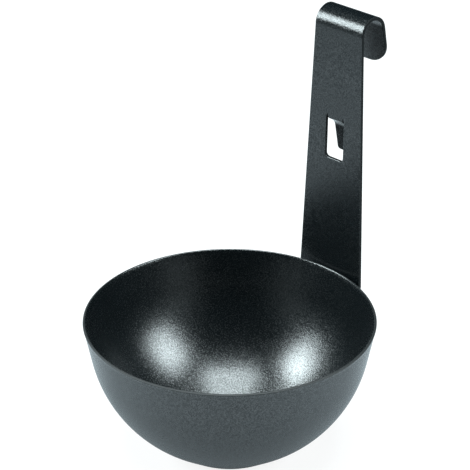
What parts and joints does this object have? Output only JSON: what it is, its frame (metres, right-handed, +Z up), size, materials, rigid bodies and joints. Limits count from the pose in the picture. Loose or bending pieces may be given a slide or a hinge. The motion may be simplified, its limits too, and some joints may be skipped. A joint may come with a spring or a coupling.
{
  "type": "hanging egg poacher cup",
  "caption": "Round-bottomed coated steel cup for poaching an egg, with a tall strap handle that ends in a hook and has a lanced tongue as a lower hook.",
  "frame": {"origin": "centre of the flat base that the cup stands on", "axes": "+Z up along the bowl's axis, +Y towards the strap handle and its hook, +X to the right as seen from the bowl's side"},
  "size_m": [0.0798, 0.093, 0.1152],
  "materials": {
    "coated_steel": "dark grey satin non-stick coating with a fine grain, on steel sheet",
    "coated_weld": "dark grey satin non-stick coating over spot-welded steel"
  },
  "bodies": {
    "root": {"cup_bowl": "coated_steel", "handle_strap": "coated_steel", "spot_weld_upper_left": "coated_weld", "spot_weld_upper_right": "coated_weld", "spot_weld_lower_left": "coated_weld", "spot_weld_lower_right": "coated_weld"}
  },
  "joints": []
}
